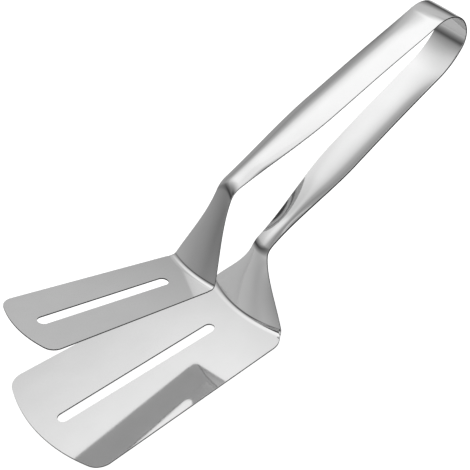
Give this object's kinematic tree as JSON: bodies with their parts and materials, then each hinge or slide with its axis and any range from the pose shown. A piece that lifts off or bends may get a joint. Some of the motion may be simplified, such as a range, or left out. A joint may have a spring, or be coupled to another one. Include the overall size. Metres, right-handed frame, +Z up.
{
  "type": "kitchen tongs",
  "caption": "Kitchen tongs bent from one strip of polished steel: two slotted spatula blades on channelled grips that a sprung bow holds apart.",
  "frame": {"origin": "middle of the part's footprint on the surface that the lower blade lies on", "axes": "+X from the blades to the bow, +Z up and square to the lower blade, +Y across the blades"},
  "size_m": [0.2529, 0.0744, 0.1054],
  "materials": {
    "polished_steel": "mirror-polished stainless sheet"
  },
  "bodies": {
    "lower_arm": {"lower_arm": "polished_steel"},
    "spring_bow": {"spring_bow": "polished_steel"},
    "upper_arm": {"upper_arm": "polished_steel"}
  },
  "joints": [
    {"name": "squeeze", "type": "hinge", "parent": "lower_arm", "child": "spring_bow", "pos_m": [0.10784, 0, 0.07455], "axis": [0, -1, 0], "range_deg": [0, 7.4], "stiffness_Nm_per_rad": 3.8, "springref_deg": -2.29},
    {"name": "squeeze_upper", "type": "hinge", "parent": "spring_bow", "child": "upper_arm", "pos_m": [0.10881, 0, 0.1042], "axis": [0, -1, 0], "range_deg": [0, 7.4], "stiffness_Nm_per_rad": 3.8, "springref_deg": -2.29}
  ],
  "couplings": [
    {"joint": "squeeze_upper", "follows": "squeeze", "ratio": 1}
  ]
}
